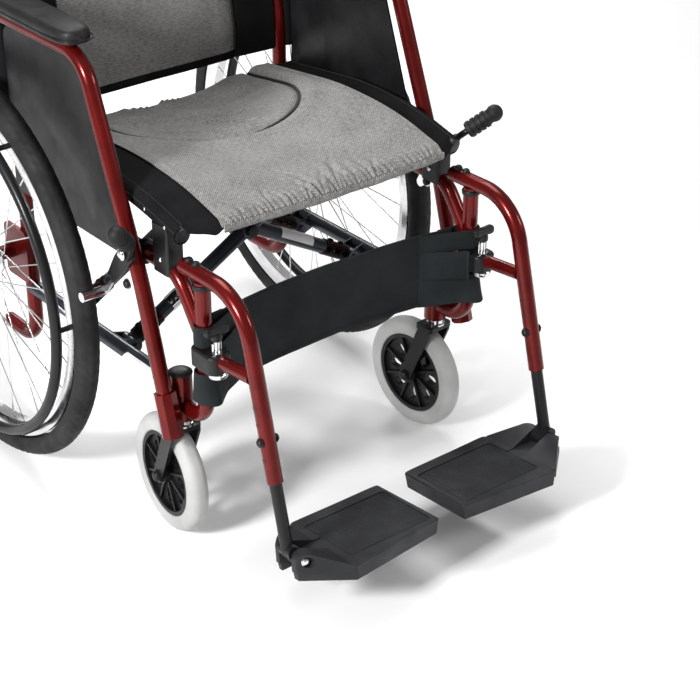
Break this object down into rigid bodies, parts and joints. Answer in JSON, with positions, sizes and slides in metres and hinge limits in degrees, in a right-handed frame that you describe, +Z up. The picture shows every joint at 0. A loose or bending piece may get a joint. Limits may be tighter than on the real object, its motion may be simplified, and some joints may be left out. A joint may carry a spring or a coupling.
{
  "type": "folding wheelchair",
  "caption": "Folding self-propelled wheelchair with spoked rear wheels, swing-away footrests, swivel casters, cross brace and push-to-lock brakes.",
  "frame": {"origin": "on the floor under the middle of the chair", "axes": "+Z up, the chair faces -Y, +X is the sitter's left"},
  "size_m": [0.681, 1.0319, 0.9178],
  "materials": {
    "frame_paint": "gloss metallic",
    "brace_paint": "satin",
    "black_paint": "satin",
    "fork_steel": "satin",
    "bright_steel": "polished",
    "rim_alloy": "satin",
    "black_tyre": "matte",
    "grey_tyre": "satin",
    "black_plastic": "satin",
    "footplate_plastic": "satin",
    "pad_skin": "satin",
    "grip_rubber": "matte",
    "seat_fabric": "woven",
    "black_fabric": "woven"
  },
  "bodies": {
    "right_side": {"right_front_post": "frame_paint", "right_upper_rail": "frame_paint", "right_lower_rail": "brace_paint", "right_back_cane": "frame_paint", "right_arm_tube": "frame_paint", "right_arm_pad": "pad_skin", "right_push_grip": "grip_rubber", "right_skirt_guard": "black_plastic", "right_seat_cradles": "black_plastic", "right_brake_mount": "black_paint", "back_upholstery": "black_fabric", "calf_strap": "black_fabric"},
    "right_brace": {"right_cross_brace": "brace_paint", "left_seat_rail": "black_paint", "cross_bolts": "bright_steel", "seat_cushion": "seat_fabric"},
    "left_brace": {"left_cross_brace": "brace_paint", "right_seat_rail": "black_paint"},
    "left_side": {"left_front_post": "frame_paint", "left_upper_rail": "frame_paint", "left_lower_rail": "brace_paint", "left_back_cane": "frame_paint", "left_arm_tube": "frame_paint", "left_arm_pad": "pad_skin", "left_push_grip": "grip_rubber", "left_skirt_guard": "black_plastic", "left_seat_cradles": "black_plastic", "left_brake_mount": "black_paint"},
    "right_rear_wheel": {"right_rear_tyre": "black_tyre", "right_rear_rim": "rim_alloy", "right_rear_hub": "rim_alloy", "right_rear_spokes": "bright_steel", "right_handrim": "black_paint"},
    "right_caster_swivel": {"right_caster_fork": "fork_steel"},
    "right_caster_roll": {"right_caster_wheel": "black_plastic", "right_caster_tyre": "grey_tyre"},
    "right_hanger": {"right_hanger_tube": "frame_paint", "right_latch_block": "black_plastic", "right_extension_tube": "black_paint", "right_hanger_bolts": "bright_steel"},
    "right_latch": {"right_latch_lever": "black_plastic"},
    "right_foot": {"right_footplate": "footplate_plastic"},
    "right_brake_handle": {"right_brake_lever": "black_paint"},
    "right_brake_stop": {"right_brake_shoe": "bright_steel"},
    "left_rear_wheel": {"left_rear_tyre": "black_tyre", "left_rear_rim": "rim_alloy", "left_rear_hub": "rim_alloy", "left_rear_spokes": "bright_steel", "left_handrim": "black_paint"},
    "left_caster_swivel": {"left_caster_fork": "fork_steel"},
    "left_caster_roll": {"left_caster_wheel": "black_plastic", "left_caster_tyre": "grey_tyre"},
    "left_hanger": {"left_hanger_tube": "frame_paint", "left_latch_block": "black_plastic", "left_extension_tube": "black_paint", "left_hanger_bolts": "bright_steel"},
    "left_latch": {"left_latch_lever": "black_plastic"},
    "left_foot": {"left_footplate": "footplate_plastic"},
    "left_brake_handle": {"left_brake_lever": "black_paint"},
    "left_brake_stop": {"left_brake_shoe": "bright_steel"}
  },
  "joints": [
    {"name": "fold", "type": "hinge", "parent": "right_side", "child": "right_brace", "pos_m": [-0.212, 0, 0.24], "axis": [0, -1, 0], "range_deg": [0, 40.9], "deforming": ["seat_cushion", "back_upholstery", "calf_strap"]},
    {"name": "brace_scissor", "type": "hinge", "parent": "right_brace", "child": "left_brace", "pos_m": [0, 0, 0.358], "axis": [0, 1, 0], "range_deg": [0, 81.8]},
    {"name": "left_side_fold", "type": "hinge", "parent": "left_brace", "child": "left_side", "pos_m": [0.212, 0, 0.24], "axis": [0, -1, 0], "range_deg": [0, 40.9]},
    {"name": "right_wheel_spin", "type": "hinge", "parent": "right_side", "child": "right_rear_wheel", "pos_m": [-0.3025, 0.211, 0.305], "axis": [1, 0, 0], "continuous": true},
    {"name": "right_caster_turn", "type": "hinge", "parent": "right_side", "child": "right_caster_swivel", "pos_m": [-0.2315, -0.197, 0.181], "axis": [0, 0, 1], "continuous": true},
    {"name": "right_caster_spin", "type": "hinge", "parent": "right_caster_swivel", "child": "right_caster_roll", "pos_m": [-0.22801, -0.15715, 0.0888], "axis": [0.9962, -0.0872, 0], "continuous": true},
    {"name": "right_footrest_swing", "type": "hinge", "parent": "right_side", "child": "right_hanger", "pos_m": [-0.2346, -0.264, 0.426], "axis": [0, 0, -1], "range_deg": [0, 90]},
    {"name": "right_latch_release", "type": "hinge", "parent": "right_hanger", "child": "right_latch", "pos_m": [-0.2346, -0.292, 0.342], "axis": [0, 0, -1], "range_deg": [0, 35], "stiffness_Nm_per_rad": 0.2},
    {"name": "right_footplate_flip", "type": "hinge", "parent": "right_hanger", "child": "right_foot", "pos_m": [-0.228, -0.439, 0.102], "axis": [0, -0.9962, 0.0872], "range_deg": [0, 84]},
    {"name": "right_brake", "type": "hinge", "parent": "right_side", "child": "right_brake_handle", "pos_m": [-0.2843, -0.16, 0.452], "axis": [1, 0, 0], "range_deg": [0, 40]},
    {"name": "right_brake_shoe_swing", "type": "hinge", "parent": "right_side", "child": "right_brake_stop", "pos_m": [-0.2833, -0.114, 0.395], "axis": [1, 0, 0], "range_deg": [0, 16]},
    {"name": "left_wheel_spin", "type": "hinge", "parent": "left_side", "child": "left_rear_wheel", "pos_m": [0.3025, 0.211, 0.305], "axis": [1, 0, 0], "continuous": true},
    {"name": "left_caster_turn", "type": "hinge", "parent": "left_side", "child": "left_caster_swivel", "pos_m": [0.2315, -0.197, 0.181], "axis": [0, 0, 1], "continuous": true},
    {"name": "left_caster_spin", "type": "hinge", "parent": "left_caster_swivel", "child": "left_caster_roll", "pos_m": [0.22871, -0.1571, 0.0888], "axis": [0.9976, 0.0698, 0], "continuous": true},
    {"name": "left_footrest_swing", "type": "hinge", "parent": "left_side", "child": "left_hanger", "pos_m": [0.2346, -0.264, 0.426], "axis": [0, 0, 1], "range_deg": [0, 90]},
    {"name": "left_latch_release", "type": "hinge", "parent": "left_hanger", "child": "left_latch", "pos_m": [0.2346, -0.292, 0.342], "axis": [0, 0, 1], "range_deg": [0, 35], "stiffness_Nm_per_rad": 0.2},
    {"name": "left_footplate_flip", "type": "hinge", "parent": "left_hanger", "child": "left_foot", "pos_m": [0.228, -0.439, 0.102], "axis": [0, 0.9962, -0.0872], "range_deg": [0, 84]},
    {"name": "left_brake", "type": "hinge", "parent": "left_side", "child": "left_brake_handle", "pos_m": [0.2843, -0.16, 0.452], "axis": [1, 0, 0], "range_deg": [0, 40]},
    {"name": "left_brake_shoe_swing", "type": "hinge", "parent": "left_side", "child": "left_brake_stop", "pos_m": [0.2833, -0.114, 0.395], "axis": [1, 0, 0], "range_deg": [0, 16]}
  ],
  "couplings": [
    {"joint": "brace_scissor", "follows": "fold", "ratio": 2},
    {"joint": "left_side_fold", "follows": "fold", "ratio": 1},
    {"joint": "right_footplate_flip", "follows": "fold", "ratio": 2.05},
    {"joint": "right_brake_shoe_swing", "follows": "right_brake", "ratio": 0.4},
    {"joint": "left_footplate_flip", "follows": "fold", "ratio": 2.05},
    {"joint": "left_brake_shoe_swing", "follows": "left_brake", "ratio": 0.4}
  ]
}
